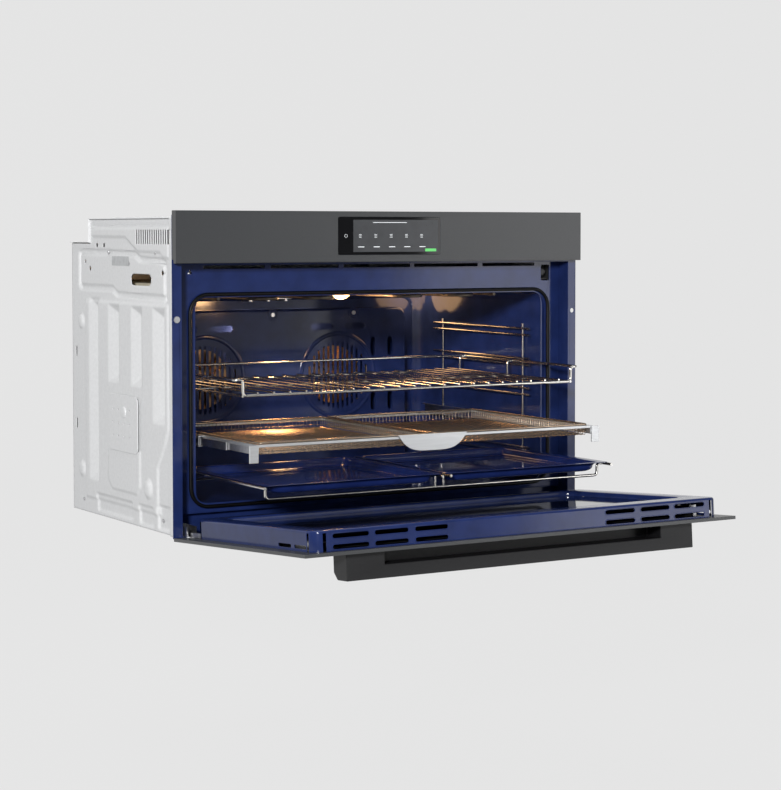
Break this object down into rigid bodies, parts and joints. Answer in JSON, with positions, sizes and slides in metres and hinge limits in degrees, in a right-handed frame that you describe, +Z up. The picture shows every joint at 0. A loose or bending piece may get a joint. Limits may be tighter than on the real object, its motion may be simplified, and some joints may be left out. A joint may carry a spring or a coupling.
{
  "type": "wall oven",
  "caption": "Wide built-in wall oven with drop-down glazed door, touch display in the fascia, wire shelf, basket carriage and enamelled trays on side ladders.",
  "frame": {"origin": "middle of the bottom front edge of the housing, in the plane where the front flange meets the furniture", "axes": "+X to the right as seen from the front, +Y back into the niche, +Z up"},
  "size_m": [0.895, 1.0462, 0.615],
  "materials": {
    "blue_enamel": "glossy vitreous enamel",
    "anthracite_panel": "satin anthracite coating",
    "door_front_glass": "opaque back-painted anthracite glass",
    "handle_aluminium": "satin black coating",
    "display_glass": "black glass over a dark screen",
    "dark_glass": "grey tinted heat-reflecting glass",
    "black_plastic": "matt moulded plastic",
    "circuit_board": "green board with black and grey components",
    "galvanised_sheet": "light galvanised sheet",
    "steel_hardware": "zinc plated steel",
    "fan_steel": "bright pressed steel",
    "element_sheath": "dull heat-stained sheath",
    "silicone": "matt black silicone",
    "insulation": "fibrous needled mat",
    "lamp_glass": "clear lens lit warm",
    "lamp_ceramic": "white ceramic",
    "chrome_wire": "bright chromed wire",
    "bright_steel": "fine brushed steel",
    "woven_wire": "bright woven wire",
    "screw_steel": "bright plated steel"
  },
  "bodies": {
    "housing": {"front_frame": "blue_enamel", "frame_face": "blue_enamel", "fascia_panel": "anthracite_panel", "display_glass": "display_glass", "display_module": "black_plastic", "control_board": "circuit_board", "side_panel_left": "galvanised_sheet", "side_panel_right": "galvanised_sheet", "side_access_plates": "galvanised_sheet", "rear_panel": "galvanised_sheet", "base_panel": "galvanised_sheet", "top_cover": "galvanised_sheet", "cavity_shell": "blue_enamel", "door_gasket": "silicone", "fan_cover_panel": "blue_enamel", "insulation_blanket": "insulation", "service_deck": "galvanised_sheet", "cooling_duct": "galvanised_sheet", "blower_housing": "galvanised_sheet", "blower_motor": "fan_steel", "convection_motors": "fan_steel", "ring_elements": "element_sheath", "grill_element": "element_sheath", "bottom_element": "element_sheath", "lamp_lens": "lamp_glass", "lamp_holder": "lamp_ceramic", "thermostat_bulb": "steel_hardware", "rack_ladders": "chrome_wire", "slide_channels": "galvanised_sheet", "hinge_receivers": "steel_hardware", "hinge_pins": "steel_hardware", "power_board": "circuit_board", "terminal_block": "black_plastic", "cable_gland": "black_plastic", "door_lock_housing": "black_plastic", "housing_screws": "screw_steel", "flange_screw": "screw_steel", "fan_cover_screws": "screw_steel"},
    "door": {"door_outer_panel": "door_front_glass", "door_liner": "blue_enamel", "door_inner_glass": "dark_glass", "door_middle_glass": "dark_glass", "glass_retainers": "steel_hardware", "door_handle": "handle_aluminium", "hinge_arms": "steel_hardware"},
    "wire_shelf": {"wire_shelf_frame": "chrome_wire", "wire_shelf_rods": "chrome_wire"},
    "slide_middle": {"slide_middle_members": "galvanised_sheet"},
    "basket_carriage": {"slide_inner_members": "galvanised_sheet", "basket_carriage_frame": "bright_steel", "basket_handle_plate": "bright_steel"},
    "left_basket": {"basket_left": "woven_wire"},
    "right_basket": {"basket_right": "woven_wire"},
    "tray_carriage": {"tray_carrier": "chrome_wire"},
    "left_tray": {"tray_left": "blue_enamel"},
    "right_tray": {"tray_right": "blue_enamel"},
    "left_convection_fan": {"convection_fan_left": "fan_steel"},
    "right_convection_fan": {"convection_fan_right": "fan_steel"},
    "blower_wheel": {"blower_impeller": "fan_steel"},
    "lock_hook": {"door_lock_hook": "steel_hardware"}
  },
  "joints": [
    {"name": "door_hinge", "type": "hinge", "parent": "housing", "child": "door", "pos_m": [0, -0.013, 0.0045], "axis": [-1, 0, 0], "range_deg": [0, 85.95]},
    {"name": "shelf_slide", "type": "slide", "parent": "housing", "child": "wire_shelf", "axis": [0, 1, 0], "range_m": [0, 0.15]},
    {"name": "slide_middle_slide", "type": "slide", "parent": "housing", "child": "slide_middle", "axis": [0, 1, 0], "range_m": [0, 0.1075]},
    {"name": "basket_slide", "type": "slide", "parent": "housing", "child": "basket_carriage", "axis": [0, 1, 0], "range_m": [0, 0.215]},
    {"name": "tray_slide", "type": "slide", "parent": "housing", "child": "tray_carriage", "axis": [0, 1, 0], "range_m": [0, 0.33]},
    {"name": "left_basket_lift", "type": "slide", "parent": "basket_carriage", "child": "left_basket", "axis": [0, 0, 1], "range_m": [0, 0.02]},
    {"name": "right_basket_lift", "type": "slide", "parent": "basket_carriage", "child": "right_basket", "axis": [0, 0, 1], "range_m": [0, 0.02]},
    {"name": "left_tray_lift", "type": "slide", "parent": "tray_carriage", "child": "left_tray", "axis": [0, 0, 1], "range_m": [0, 0.012]},
    {"name": "right_tray_lift", "type": "slide", "parent": "tray_carriage", "child": "right_tray", "axis": [0, 0, 1], "range_m": [0, 0.012]},
    {"name": "left_convection_spin", "type": "hinge", "parent": "housing", "child": "left_convection_fan", "pos_m": [-0.1575, 0.483, 0.253], "axis": [0, 1, 0], "continuous": true},
    {"name": "right_convection_spin", "type": "hinge", "parent": "housing", "child": "right_convection_fan", "pos_m": [0.1575, 0.483, 0.253], "axis": [0, 1, 0], "continuous": true},
    {"name": "blower_spin", "type": "hinge", "parent": "housing", "child": "blower_wheel", "pos_m": [0, 0.36, 0.528], "axis": [1, 0, 0], "continuous": true},
    {"name": "lock_hook_slide", "type": "slide", "parent": "housing", "child": "lock_hook", "axis": [1, 0, 0], "range_m": [0, 0.008]}
  ],
  "couplings": [
    {"joint": "shelf_slide", "follows": "door_hinge", "m_per_rad": 0.09999},
    {"joint": "slide_middle_slide", "follows": "door_hinge", "m_per_rad": 0.07166},
    {"joint": "basket_slide", "follows": "door_hinge", "m_per_rad": 0.14332},
    {"joint": "tray_slide", "follows": "door_hinge", "m_per_rad": 0.21998}
  ]
}
